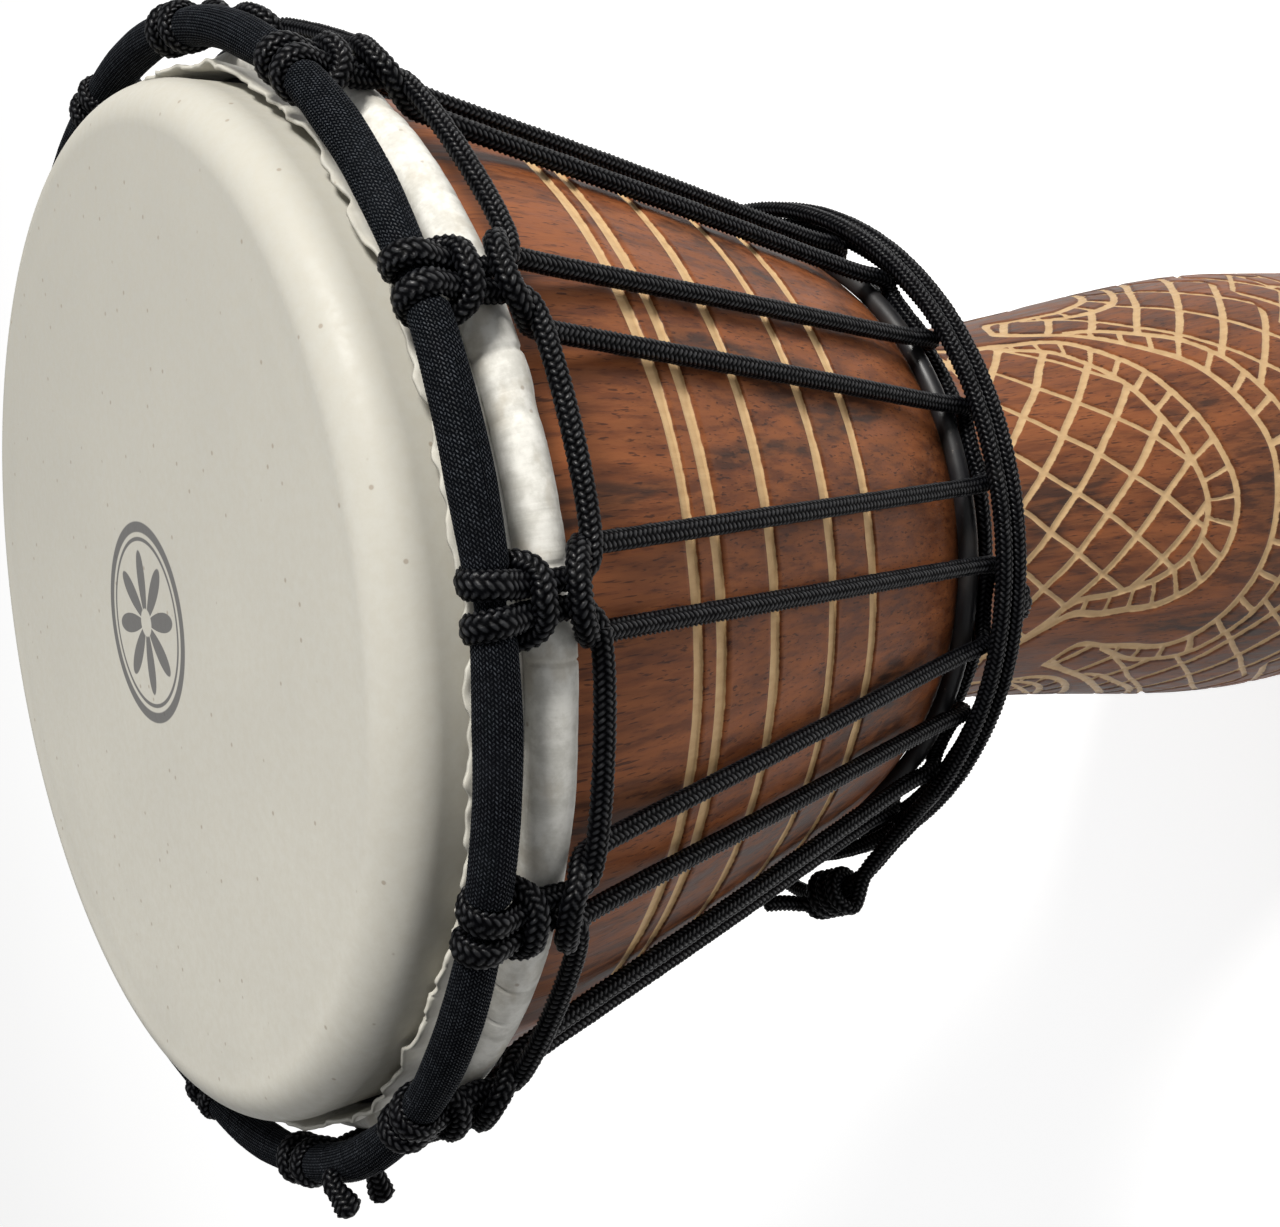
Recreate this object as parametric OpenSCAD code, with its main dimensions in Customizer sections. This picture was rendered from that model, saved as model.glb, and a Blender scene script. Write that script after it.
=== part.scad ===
// Djembe: a carved goblet drum with a rope-tensioned skin head.
// Origin at the centre of the foot's lower face, drum axis on +Z, head at the top.

/* [Drum] */
// Height from the foot to the playing face
drum_h = 500; // [480:5:520]
// Radius of the playing face at its rounded edge
head_r = 119; // [117:0.5:119]
// Thickness of the goatskin
skin_t = 1.1; // [0.9:0.1:1.2]

/* [Shell] */
// Outer radius of the foot's lower edge
foot_r = 74; // [72:0.5:76]
// Outer radius of the waist, between the bowl and the pipe
waist_r = 57; // [55:0.5:59]
// Thickness of the wooden wall of the bowl
bowl_wall = 14; // [12:0.5:16]
// Depth of the five grooves cut round the bowl
groove_depth = 1.2; // [0.8:0.1:2]
// Width of one groove
groove_w = 3; // [2:0.1:3.4]

/* [Rings] */
// Radius of the crown ring, to the middle of its rod
crown_r = 130; // [129.5:0.5:131]
// Radius of the crown ring's steel rod
crown_rod_r = 2.2; // [2:0.1:2.4]
// Outer radius of the cloth sleeve on the crown ring
sleeve_r = 4.5; // [4:0.1:4.8]
// Drop from the playing face to the crown ring
crown_drop = 15; // [14:0.5:18]
// Radius of the flesh hoop that the skin is folded round
hoop_r = 122.3; // [122.2:0.1:122.6]
// Radius of the flesh hoop's rod
hoop_rod_r = 3.9; // [3.6:0.1:3.9]
// Radius of the bottom ring
bottom_r = 83.5; // [83:0.1:84]
// Radius of the bottom ring's rod
bottom_rod_r = 2.5; // [2:0.1:2.8]

/* [Rope] */
// Diameter of the braided rope
rope_d = 4.8; // [4.4:0.1:5]

/* [Hidden] */
$fn = 48;
rope_r = rope_d / 2;
gap = 0.1;
crown_z = drum_h - crown_drop;
hoop_z = crown_z - 16.2;
bottom_z = crown_z - 167.5;
waist_z = crown_z - 212;
bore_clear = 0.05;

// bearings of the hitches, which are tied by hand and not quite evenly spaced
hitch_a = [0, 26.5, 54.5, 80.5, 105.5, 130, 155, 180, 205, 230, 254.5, 279.5, 306.5, 333];
hitches = len(hitch_a);

// outline of the shell, from the crown down: radius and height below the crown ring
shell_outer = [
    [117.9, -6], [117.2, 5], [116.5, 12], [117, 20], [118, 30], [117.3, 40], [114.8, 55],
    [110.6, 72], [105.4, 92], [99.9, 112], [93, 137], [88.6, 150], [84, 161], [80.2, 168], [76, 175.5],
    [69.5, 185], [63.5, 195], [59.6, 204]
];
mouth_drop = 20;      // the mouth is straight above this drop
throat_drop = 160;    // the wall is thicker below this drop
throat_extra = 1.5;
wall_foot = 16;
wall_waist = 13;
pipe_swell = 17;      // the pipe swells by this much below the waist
pipe_rise = 0.62;     // over this share of the way to the foot
pipe_steps = 24;
edge_r = 8.8;         // rounding of the bearing edge under the skin
edge_in_r = 1.4;      // rounding inside the mouth

// grooves round the bowl, drops below the crown ring
groove_drops = [57, 64.5, 83, 105, 121.5];
groove_reach = 4;     // how far the cutter stands out of the wood

// skin: it leaves the top of the hoop and stands up as a collar inside the crown ring
hoop_mid = hoop_rod_r + bore_clear + skin_t / 2;
collar_foot_r = 120.5;
collar_top = [122, 2];

// hitch: where the wraps, bar, stems and bight stand about the crown ring
wrap_y = 3.3;
squeezed_r = 1.9;     // the rope is squeezed thinner where it wraps
neck_r = 2.95;        // and squeezes the sleeve under it
wrap_r = neck_r + squeezed_r + gap / 2;
bar_drop = 7.8;
bar_out = 4.3;
bar_len = 12.4;
stem_y = 2.5;
stem_r = 129.8;
span_r = 131;
stem_past = 1.4;      // how far a stem runs past the middle of the cradle rope
span_drop = 21.5;
bight_out = 134.5;
bight_drop = 15.9;
bight_ry = 7.6;
leg_top_r = 126;
leg_top_drop = 22.6;
neck_half_a = 2.9;    // half the bearing that a hitch squeezes the sleeve over
leg_foot_r = bottom_r + bottom_rod_r + rope_r + gap;
leg_half = 9.9;
turn_drop = [169.8, 174.8];
turn_r = leg_foot_r + rope_d + gap;
inner_turn = [88.4, 176.1];   // radius and drop
lowest_turn = [79, 178.4];
knuckle_r = rope_r + 0.12;

// tie-off beside the bottom ring: bearing, radius, drop, wraps and tail
knot_a = -75;
knot_r = 104;
knot_drop = 161.5;
knot_wrap_r = 4.9;
knot_pitch = 4.4;
tail_back = 17;
tail_ahead = 22;

// sealed ends of the cradle rope, outside the crown ring
end_a = -70;
end_out = 10.5;
end_y = [4.5, -4];
end_z = [4.2, -7];
end_r = 3.4;

// stopper knot where the lacing starts, tucked under the bottom ring
start_a = -14.5;
start_r = 85;
start_drop = 183.6;
start_wrap_r = 2.5;

wood = "#7a4630";
hide = "#dcd6c6";
cord = "#17181c";
steel = "#3a3c40";

// straight stretch of rope between two points
module rod(a, b, r) {
    d = b - a;
    n = norm(d);
    translate(a)
        rotate([0, acos(d.z / n), atan2(d.y, d.x)])
            cylinder(r = r, h = n);
}

// ring of round section about +Z
module ring(big_r, rod_r, z) {
    translate([0, 0, z]) rotate_extrude($fn = 96) translate([big_r, 0]) circle(rod_r, $fn = 32);
}

// places a hitch's parts at its bearing round the crown
module at_hitch(i) rotate([0, 0, hitch_a[i - 1]]) children();
// bearing of the next hitch
function next_a(i) = i < hitches ? hitch_a[i] : 360 + hitch_a[0];

// foot and pipe: a smooth swell below the waist, then a slow flare to the foot
function eased(u) = u * u * (3 - 2 * u);
function pipe_r(t) =
    waist_r + pipe_swell * eased(min(t / pipe_rise, 1)) + (foot_r - waist_r - pipe_swell) * t * t;
function pipe_pts(inset, n) = [
    for (k = [0:n]) let (t = k / n)
        [pipe_r(t) - inset - (wall_foot - wall_waist) * (inset > 0 ? t : 0), waist_z * (1 - t)]
];
function bowl_pts(pts) = [for (p = pts) [p.x, crown_z - p.y]];
function reversed(v) = [for (i = [len(v) - 1:-1:0]) v[i]];
function arc_pts(cx, cy, r, a0, a1, n) = [
    for (k = [0:n]) let (a = a0 + (a1 - a0) * k / n) [cx + r * cos(a), cy + r * sin(a)]
];

module shell_section() {
    top_z = drum_h - skin_t;
    crown = head_r - skin_t;
    mouth_r = shell_r(mouth_drop) - bowl_wall;
    inner = [for (p = shell_outer) if (p.y > mouth_drop)
        [p.x - bowl_wall - (p.y > throat_drop ? throat_extra : 0), crown_z - p.y]];
    polygon(concat(
        arc_pts(crown - edge_r, top_z - edge_r, edge_r, 90, 0, 6),
        bowl_pts([for (p = shell_outer) if (p.y > 0) p]),
        pipe_pts(0, pipe_steps),
        reversed(pipe_pts(wall_waist, pipe_steps)),
        reversed(inner),
        [[mouth_r, crown_z - mouth_drop]],
        arc_pts(mouth_r + edge_in_r, top_z - edge_in_r, edge_in_r, 180, 90, 3)
    ));
}

function shell_r(drop, i = 0) =
    shell_outer[i + 1].y >= drop
    ? shell_outer[i].x + (shell_outer[i + 1].x - shell_outer[i].x)
        * (drop - shell_outer[i].y) / (shell_outer[i + 1].y - shell_outer[i].y)
    : shell_r(drop, i + 1);

module shell() color(wood)
    difference() {
        rotate_extrude($fn = 96) shell_section();
        for (drop = groove_drops)
            translate([0, 0, crown_z - drop - groove_w / 2])
                rotate_extrude($fn = 96)
                    translate([shell_r(drop) - groove_depth, 0])
                        square([groove_depth + groove_reach, groove_w]);
    }

// skin: face, rounded shoulder, wall, fold round the hoop and collar trimmed above the crown ring;
// side is +1 for its outer side and -1 for the side against the shell
function skin_side(side) = let (o = side * skin_t / 2) concat(
    [[0, drum_h - skin_t / 2 + o]],
    arc_pts(head_r - skin_t - edge_r, drum_h - skin_t - edge_r, edge_r + skin_t / 2 + o, 90, -8, 7),
    arc_pts(hoop_r, hoop_z, hoop_mid - o, 180, 450, 18),
    [[collar_foot_r - o, hoop_z + hoop_mid - o], [collar_top.x - o, crown_z + collar_top.y]]
);
module drumhead_skin() color(hide)
    rotate_extrude($fn = 96) polygon(concat(skin_side(1), reversed(skin_side(-1))));

module flesh_hoop() color(steel) ring(hoop_r, hoop_rod_r, hoop_z);
module crown_ring() color(steel) ring(crown_r, crown_rod_r, crown_z);
module bottom_ring() color(steel) ring(bottom_r, bottom_rod_r, bottom_z);

// cloth tube on the crown ring: full between the hitches and squeezed under each of them
module crown_ring_sleeve() color(cord)
    translate([0, 0, crown_z])
        difference() {
            union() {
                rotate_extrude($fn = 96) translate([crown_r, 0]) circle(neck_r, $fn = 32);
                for (i = [1:hitches])
                    rotate([0, 0, hitch_a[i - 1] + neck_half_a])
                        rotate_extrude(angle = next_a(i) - hitch_a[i - 1] - 2 * neck_half_a, $fn = 96)
                            translate([crown_r, 0]) circle(sleeve_r, $fn = 32);
            }
            rotate_extrude($fn = 96) translate([crown_r, 0]) circle(crown_rod_r + bore_clear, $fn = 32);
        }

// two wraps round the crown ring, the bar across them and the two stems that leave under the bar
module crown_hitch(i) color(cord)
    at_hitch(i) {
        for (s = [-1, 1])
            translate([crown_r, s * wrap_y, crown_z])
                rotate([90, 0, 0])
                    rotate_extrude($fn = 48) translate([wrap_r, 0]) circle(squeezed_r, $fn = 24);
        rod([crown_r + bar_out, -bar_len / 2, crown_z - bar_drop],
            [crown_r + bar_out, bar_len / 2, crown_z - bar_drop], rope_r);
        for (s = [-1, 1])
            rod([crown_r, s * stem_y, crown_z - wrap_r],
                [stem_r, s * stem_y, crown_z - span_drop - stem_past], rope_r);
    }

// cradle rope from one hitch to the next, below the crown ring
module cradle_span(i) color(cord) {
    a = hitch_a[i - 1];
    b = next_a(i);
    y = stem_y + rope_r + gap;
    rod([span_r * cos(a) - y * sin(a), span_r * sin(a) + y * cos(a), crown_z - span_drop],
        [span_r * cos(b) + y * sin(b), span_r * sin(b) - y * cos(b), crown_z - span_drop], rope_r);
}

// lacing: a bight hooked over the stems, two legs down the bowl, and a hook under the bottom ring
module lacing_run(i) color(cord)
    at_hitch(i) {
        rise = leg_top_drop - bight_drop;
        reach = bight_out - leg_top_r;
        straight = norm([reach, rise]) - bight_ry;
        tilt = atan2(reach, rise);
        translate([leg_top_r, 0, crown_z - leg_top_drop])
            rotate([0, tilt, 0]) {
                for (s = [-1, 1])
                    translate([0, s * bight_ry, 0]) cylinder(r = rope_r, h = straight);
                translate([0, 0, straight])
                    rotate([90, 0, 90])
                        rotate_extrude(angle = 180, $fn = 48)
                            translate([bight_ry, 0]) circle(rope_r, $fn = 24);
            }
        for (s = [-1, 1]) {
            top = [leg_top_r, s * bight_ry, crown_z - leg_top_drop];
            foot = [leg_foot_r, s * leg_half, bottom_z];
            rod(top, foot, rope_r);
            translate(top) sphere(knuckle_r, $fn = 24);
            translate(foot) sphere(knuckle_r, $fn = 24);
            translate([bottom_r, s * leg_half, bottom_z])
                rotate([90, 0, 0])
                    rotate([0, 0, -90])
                        rotate_extrude(angle = 90, $fn = 48)
                            translate([leg_foot_r - bottom_r, 0]) circle(rope_r, $fn = 24);
        }
    }

module waist_turn_upper() color(cord) ring(turn_r, rope_r, crown_z - turn_drop[0]);
module waist_turn_lower() color(cord) ring(turn_r, rope_r, crown_z - turn_drop[1]);
module waist_turn_inner() color(cord) ring(inner_turn[0], rope_r, crown_z - inner_turn[1]);
module waist_turn_lowest() color(cord) ring(lowest_turn[0], rope_r, crown_z - lowest_turn[1]);

module tie_off_knot() color(cord)
    rotate([0, 0, knot_a])
        translate([knot_r, 0, crown_z - knot_drop])
            for (k = [-1:1])
                translate([0, k * knot_pitch, 0])
                    rotate([90, 0, 0])
                        rotate_extrude($fn = 48) translate([knot_wrap_r, 0]) circle(rope_r, $fn = 24);

module tie_off_tail() color(cord)
    rotate([0, 0, knot_a])
        rod([knot_r, -tail_back, crown_z - knot_drop], [knot_r, tail_ahead, crown_z - knot_drop], rope_r);

// two sealed ends, one above the crown ring and one below it
module crown_rope_end_knot() color(cord)
    rotate([0, 0, end_a])
        for (k = [0, 1])
            translate([crown_r + end_out, end_y[k], crown_z + end_z[k]]) sphere(end_r, $fn = 24);

module lacing_start_knot() color(cord)
    rotate([0, 0, start_a])
        translate([start_r, 0, crown_z - start_drop])
            rotate([90, 0, 0])
                rotate_extrude($fn = 48) translate([start_wrap_r, 0]) circle(rope_r, $fn = 24);

shell();
drumhead_skin();
flesh_hoop();
crown_ring();
crown_ring_sleeve();
bottom_ring();
waist_turn_upper();
waist_turn_lower();
waist_turn_inner();
waist_turn_lowest();
tie_off_knot();
tie_off_tail();
crown_rope_end_knot();
lacing_start_knot();
for (i = [1:hitches]) {
    crown_hitch(i);
    cradle_span(i);
    lacing_run(i);
}
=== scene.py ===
import math

import bpy
import numpy as np
from mathutils import Matrix, Vector


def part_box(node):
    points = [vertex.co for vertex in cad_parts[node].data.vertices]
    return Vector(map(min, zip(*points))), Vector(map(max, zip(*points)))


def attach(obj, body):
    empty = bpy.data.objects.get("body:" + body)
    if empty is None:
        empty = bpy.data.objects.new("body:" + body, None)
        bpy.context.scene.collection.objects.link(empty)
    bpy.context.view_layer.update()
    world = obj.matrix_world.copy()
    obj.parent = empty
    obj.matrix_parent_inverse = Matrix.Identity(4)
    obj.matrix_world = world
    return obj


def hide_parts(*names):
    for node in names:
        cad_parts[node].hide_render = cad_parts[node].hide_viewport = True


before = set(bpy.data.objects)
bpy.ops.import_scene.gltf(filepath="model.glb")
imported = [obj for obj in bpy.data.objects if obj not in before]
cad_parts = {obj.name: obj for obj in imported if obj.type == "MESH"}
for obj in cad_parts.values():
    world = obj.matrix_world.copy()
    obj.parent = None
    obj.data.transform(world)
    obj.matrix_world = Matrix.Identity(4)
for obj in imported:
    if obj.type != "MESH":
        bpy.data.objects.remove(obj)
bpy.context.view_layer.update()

# Lengths are in millimetres unless a comment says metres; MM turns millimetres into metres.
# Names ending in _Z and DRUM_H are heights from the floor. A drop is measured down from the crown ring,
# and the heights in the ropes' routes are measured up from it.
MM = 0.001
TAU = 2 * math.pi


def ring_of(node):
    """Radius of a ring node to the middle of its rod, rod radius and height, in millimetres."""
    low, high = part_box(node)
    rod = (high[2] - low[2]) / 2
    return (high[0] - rod) / MM, rod / MM, (high[2] + low[2]) / 2 / MM


CROWN_R, _, CROWN_Z = ring_of("crown_ring")
SLEEVE_R = ring_of("crown_ring_sleeve")[1]
HOOP_R, HOOP_ROD, HOOP_Z = ring_of("flesh_hoop")
ROPE_R = ring_of("waist_turn_upper")[1]
DRUM_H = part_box("drumhead_skin")[1][2] / MM
# the hitches are tied by hand and not quite evenly spaced
HITCH_A = [math.radians(a) for a in (
    0, 26.5, 54.5, 80.5, 105.5, 130, 155, 180, 205, 230, 254.5, 279.5, 306.5, 333)]
HITCHES = len(HITCH_A)

# ---------------------------------------------------------------- camera, light and floor

VIEW_TURN = math.radians(2.5)  # the drum's turn to the camera
EYE = (2.955 * CROWN_R, 0.0, 1.145 * CROWN_R + CROWN_Z)
RIGHT = Vector((0.5689, -0.1247, -0.8129))
UP = Vector((0.048, 0.9918, -0.1186))
LENS = 47.8
LENS_SHIFT = (0.0135, -0.008)
CLIP = (0.01, 20)  # metres


def make_camera():
    data = bpy.data.cameras.new("camera")
    camera = bpy.data.objects.new("camera", data)
    bpy.context.scene.collection.objects.link(camera)
    back = RIGHT.cross(UP).normalized()
    up = back.cross(RIGHT).normalized()
    pose = Matrix((RIGHT.normalized(), up, back)).transposed().to_4x4()
    pose.translation = Vector(EYE) * MM
    camera.matrix_world = Matrix.Rotation(VIEW_TURN, 4, "Z") @ pose
    data.lens = LENS
    data.shift_x, data.shift_y = LENS_SHIFT
    data.clip_start, data.clip_end = CLIP
    bpy.context.scene.camera = camera


def area_light(name, place, aim, size, power, colour):
    """Round area light at a place, turned to its aim; place, aim and size are in metres."""
    data = bpy.data.lights.new(name, "AREA")
    data.shape, data.size, data.energy, data.color = "DISK", size, power, colour
    light = bpy.data.objects.new(name, data)
    light.location = place
    light.rotation_euler = (Vector(aim) - Vector(place)).to_track_quat("-Z", "Y").to_euler()
    bpy.context.scene.collection.objects.link(light)



# ---------------------------------------------------------------- node materials

# printed flower on the head: middle (x, y, height from the floor) and radius
FLOWER_AT = (-2.0, -2.0, DRUM_H - 1.0)
FLOWER_R = 23.5
FACE_SHADE_REACH = 0.115  # metres each side of the middle over which the face darkens

class Nodes:
    """Short hand for building one material's node tree."""

    def __init__(self, name):
        self.material = bpy.data.materials.new(name)
        self.material.use_nodes = True
        self.tree = self.material.node_tree
        self.shader = self.tree.nodes["Principled BSDF"]

    def link(self, source, target):
        self.tree.links.new(source, target)

    def node(self, kind, inputs=None, **settings):
        made = self.tree.nodes.new(kind)
        for key, value in settings.items():
            setattr(made, key, value)
        for key, value in (inputs or {}).items():
            if isinstance(value, bpy.types.NodeSocket):
                self.link(value, made.inputs[key])
            else:
                made.inputs[key].default_value = value
        return made

    def attribute(self, name):
        return self.node("ShaderNodeAttribute", attribute_name=name).outputs["Fac"]

    def place(self, scale):
        """Object coordinates in millimetres, stretched by scale."""
        co = self.node("ShaderNodeTexCoord").outputs["Object"]
        inputs = {"Vector": co, "Scale": [s / MM for s in scale]}
        return self.node("ShaderNodeMapping", inputs).outputs["Vector"]

    def uv(self, scale):
        co = self.node("ShaderNodeUVMap", uv_map="UVMap").outputs["UV"]
        return self.node("ShaderNodeMapping", {"Vector": co, "Scale": scale}).outputs["Vector"]

    def noise(self, where, scale=1.0, detail=3.0, rough=0.55, warp=0.0):
        inputs = {"Vector": where, "Scale": scale, "Detail": detail, "Roughness": rough, "Distortion": warp}
        return self.node("ShaderNodeTexNoise", inputs).outputs["Fac"]

    def cells(self, where, scale=1.0, feature="F1", randomness=1.0):
        inputs = {"Vector": where, "Scale": scale, "Randomness": randomness}
        return self.node("ShaderNodeTexVoronoi", inputs, feature=feature).outputs["Distance"]

    def steps(self, value, low, high, to_low=0.0, to_high=1.0):
        """Smooth rise from to_low at low to to_high at high."""
        inputs = {"Value": value, "From Min": low, "From Max": high, "To Min": to_low, "To Max": to_high}
        return self.node("ShaderNodeMapRange", inputs, interpolation_type="SMOOTHSTEP").outputs["Result"]

    def math(self, operation, a, b=0.0):
        return self.node("ShaderNodeMath", {0: a, 1: b}, operation=operation).outputs["Value"]

    def mix(self, factor, a, b):
        made = self.node("ShaderNodeMix", data_type="RGBA")
        for key, kind, value in (("Factor", "VALUE", factor), ("A", "RGBA", a), ("B", "RGBA", b)):
            socket = next(s for s in made.inputs if s.name == key and s.type == kind)
            if isinstance(value, bpy.types.NodeSocket):
                self.link(value, socket)
            else:
                socket.default_value = value if key == "Factor" else (*value, 1.0)
        return next(s for s in made.outputs if s.type == "RGBA")

    def bump(self, height, strength, distance, normal=None):
        inputs = {"Height": height, "Strength": strength, "Distance": distance * MM}
        if normal:
            inputs["Normal"] = normal
        return self.node("ShaderNodeBump", inputs).outputs["Normal"]

    def finish(self, colour, rough, normal, shine=None, **fixed):
        if shine:
            self.link(shine, self.shader.inputs["Specular IOR Level"])
        self.link(colour, self.shader.inputs["Base Color"])
        self.link(rough, self.shader.inputs["Roughness"])
        self.link(normal, self.shader.inputs["Normal"])
        for key, value in fixed.items():
            self.shader.inputs[key.replace("_", " ")].default_value = value
        return self.material


def wood_material():
    m = Nodes("wood")
    streak = m.noise(m.place((0.10, 0.10, 0.010)), detail=5, warp=0.8)
    broad = m.noise(m.place((0.022, 0.022, 0.004)), detail=3, warp=0.5)
    grain = m.noise(m.place((0.85, 0.85, 0.03)), detail=5, rough=0.7)
    pores = m.noise(m.place((1.5, 1.5, 0.09)), detail=2)
    fine = m.noise(m.place((0.5, 0.5, 0.05)), detail=4)
    colour = m.mix(m.steps(streak, 0.36, 0.64), (0.082, 0.024, 0.0085), (0.182, 0.056, 0.018))
    patch = m.noise(m.place((0.035, 0.035, 0.011)), detail=3, warp=0.6)
    colour = m.mix(m.steps(broad, 0.50, 0.64, 0.0, 0.75), colour, (0.020, 0.010, 0.007))
    colour = m.mix(m.steps(patch, 0.57, 0.66, 0.0, 0.75), colour, (0.016, 0.010, 0.008))
    colour = m.mix(m.steps(fine, 0.4, 0.62, 0.0, 0.4), colour, (0.230, 0.080, 0.028))
    colour = m.mix(m.steps(grain, 0.52, 0.68, 0.0, 0.55), colour, (0.050, 0.017, 0.010))
    colour = m.mix(m.steps(pores, 0.60, 0.68, 0.0, 0.7), colour, (0.015, 0.006, 0.005))
    cut = m.attribute("cut")
    tan_fine = m.noise(m.place((0.5, 0.5, 0.2)), detail=4)
    tan = m.mix(tan_fine, (0.33, 0.20, 0.095), (0.54, 0.38, 0.205))
    ragged = m.math("ADD", cut, m.steps(tan_fine, 0.3, 0.7, -0.08, 0.08))
    colour = m.mix(m.steps(ragged, 0.35, 0.6), colour, tan)
    rough = m.steps(fine, 0.3, 0.7, 0.40, 0.55)
    normal = m.bump(pores, 0.25, 0.25)
    normal = m.bump(grain, 0.2, 0.3, normal)
    return m.finish(colour, rough, normal, Specular_IOR_Level=0.11)


def painted_flower(m):
    """1 inside a plain flower in a ring, printed on the playing face."""
    co = m.node("ShaderNodeTexCoord").outputs["Object"]
    inputs = {"Vector": co, "Location": [-c * MM for c in FLOWER_AT]}
    local = m.node("ShaderNodeMapping", inputs).outputs["Vector"]
    part = m.node("ShaderNodeSeparateXYZ", {"Vector": local}).outputs
    reach = m.math("SQRT", m.math("ADD", m.math("POWER", part["X"], 2.0), m.math("POWER", part["Y"], 2.0)))
    reach = m.math("DIVIDE", reach, FLOWER_R * MM)
    turn = m.math("MULTIPLY", m.math("ARCTAN2", part["Y"], part["X"]), 4.0)
    petal = m.math("MULTIPLY", m.math("ABSOLUTE", m.math("COSINE", turn)), 0.72)
    filled = m.steps(m.math("SUBTRACT", petal, reach), -0.01, 0.01)
    eye = m.steps(reach, 0.13, 0.15)
    ring = m.steps(m.math("ABSOLUTE", m.math("SUBTRACT", reach, 0.95)), 0.06, 0.045)
    thin = m.steps(m.math("ABSOLUTE", m.math("SUBTRACT", reach, 0.83)), 0.025, 0.015)
    marks = m.math("MAXIMUM", m.math("MULTIPLY", filled, eye), m.math("MAXIMUM", ring, thin))
    on_face = m.steps(part["Z"], -0.4 * MM, -0.2 * MM)
    return m.math("MULTIPLY", marks, on_face)


def skin_material():
    m = Nodes("goatskin")
    cloud = m.noise(m.place((0.016, 0.016, 0.016)), detail=5, rough=0.6)
    grain = m.noise(m.place((0.35, 0.35, 0.35)), detail=5, rough=0.7)
    fibres = m.noise(m.place((0.9, 0.12, 0.5)), detail=3)
    colour = m.mix(cloud, (0.490, 0.477, 0.428), (0.610, 0.595, 0.530))
    # painted shade: the face's colour darkens towards +y across the head
    co = m.node("ShaderNodeTexCoord").outputs["Object"]
    across = m.node("ShaderNodeSeparateXYZ", {"Vector": co}).outputs["Y"]
    shade = m.steps(across, -FACE_SHADE_REACH, FACE_SHADE_REACH, 0.0, 0.62)
    colour = m.mix(shade, colour, (0.34, 0.333, 0.30))
    colour = m.mix(m.steps(grain, 0.3, 0.7, 0.0, 0.22), colour, (0.40, 0.36, 0.28))
    fold = m.attribute("fold")
    mottle = m.noise(m.place((0.22, 0.22, 0.22)), detail=5, rough=0.65)
    hide = m.mix(m.steps(mottle, 0.35, 0.65), (0.50, 0.49, 0.45), (0.66, 0.65, 0.61))
    colour = m.mix(m.steps(fold, 0.2, 0.8), colour, hide)
    specks = m.cells(m.place((0.16, 0.16, 0.16)))
    colour = m.mix(m.steps(specks, 0.10, 0.05, 0.0, 0.5), colour, (0.20, 0.14, 0.09))
    stain = m.noise(m.place((0.12, 0.12, 0.2)), detail=4)
    stain_here = m.math("MULTIPLY", m.steps(stain, 0.5, 0.7, 0.0, 0.5), fold)
    colour = m.mix(stain_here, colour, (0.42, 0.38, 0.31))
    colour = m.mix(m.math("MULTIPLY", painted_flower(m), 0.85), colour, (0.075, 0.075, 0.08))
    rough = m.math("ADD", m.steps(grain, 0.3, 0.7, 0.42, 0.55), m.math("MULTIPLY", fold, 0.25))
    pleats = m.math("MULTIPLY", m.noise(m.uv((330.0, 3.0, 1.0)), detail=3), fold)
    normal = m.bump(grain, 0.12, 0.3)
    normal = m.bump(fibres, 0.08, 0.3, normal)
    normal = m.bump(pleats, 0.35, 0.6, normal)
    return m.finish(colour, rough, normal, Specular_IOR_Level=0.25)


def rope_material():
    m = Nodes("rope")
    fibre = m.noise(m.uv((26.0, 6.0, 1.0)), detail=3)
    worn = m.noise(m.place((0.5, 0.5, 0.5)), detail=3)
    dirt = m.noise(m.place((0.08, 0.08, 0.08)), detail=3)
    strand = m.attribute("strand")
    # painted shade: the rope's colour goes nearly black in the gaps between the plaits, following the plait
    # height in strand
    colour = m.mix(m.steps(strand, 0.2, 0.9), (0.0006, 0.0006, 0.0009), (0.0105, 0.0113, 0.0138))
    colour = m.mix(m.steps(worn, 0.42, 0.68, 0.0, 0.7), colour, (0.0028, 0.0029, 0.0037))
    colour = m.mix(m.steps(dirt, 0.62, 0.75, 0.0, 0.12), colour, (0.03, 0.029, 0.028))
    rough = m.steps(fibre, 0.3, 0.7, 0.34, 0.5)
    normal = m.bump(fibre, 0.5, 0.15)
    return m.finish(colour, rough, normal, shine=m.steps(strand, 0.25, 0.9, 0.02, 0.36))


def cloth_material():
    m = Nodes("sleeve_cloth")
    thread = m.noise(m.uv((900.0, 60.0, 1.0)), detail=2)
    worn = m.noise(m.place((0.7, 0.7, 0.7)), detail=3)
    fade = m.noise(m.place((0.05, 0.05, 0.05)), detail=3)
    stitch = m.attribute("stitch")
    lit = m.math("MULTIPLY", m.steps(stitch, 0.4, 0.95), m.steps(worn, 0.4, 0.65, 0.25, 1.0))
    colour = m.mix(lit, (0.0024, 0.0028, 0.0036), (0.040, 0.045, 0.054))
    colour = m.mix(m.steps(fade, 0.45, 0.75, 0.0, 0.2), colour, (0.016, 0.018, 0.022))
    rough = m.steps(thread, 0.3, 0.7, 0.5, 0.7)
    normal = m.bump(thread, 0.25, 0.15)
    return m.finish(colour, rough, normal, shine=m.steps(stitch, 0.5, 0.95, 0.0, 0.22))


def ring_material():
    m = Nodes("ring_steel")
    chips = m.noise(m.place((0.5, 0.5, 0.5)), detail=4)
    grime = m.noise(m.place((0.06, 0.06, 0.06)), detail=3)
    colour = m.mix(m.steps(chips, 0.68, 0.74), (0.012, 0.012, 0.014), (0.10, 0.085, 0.075))
    colour = m.mix(m.steps(grime, 0.5, 0.7, 0.0, 0.4), colour, (0.035, 0.028, 0.022))
    rough = m.steps(grime, 0.3, 0.7, 0.34, 0.55)
    return m.finish(colour, rough, m.bump(chips, 0.2, 0.2), Metallic=0.0, Specular_IOR_Level=0.5)


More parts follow.
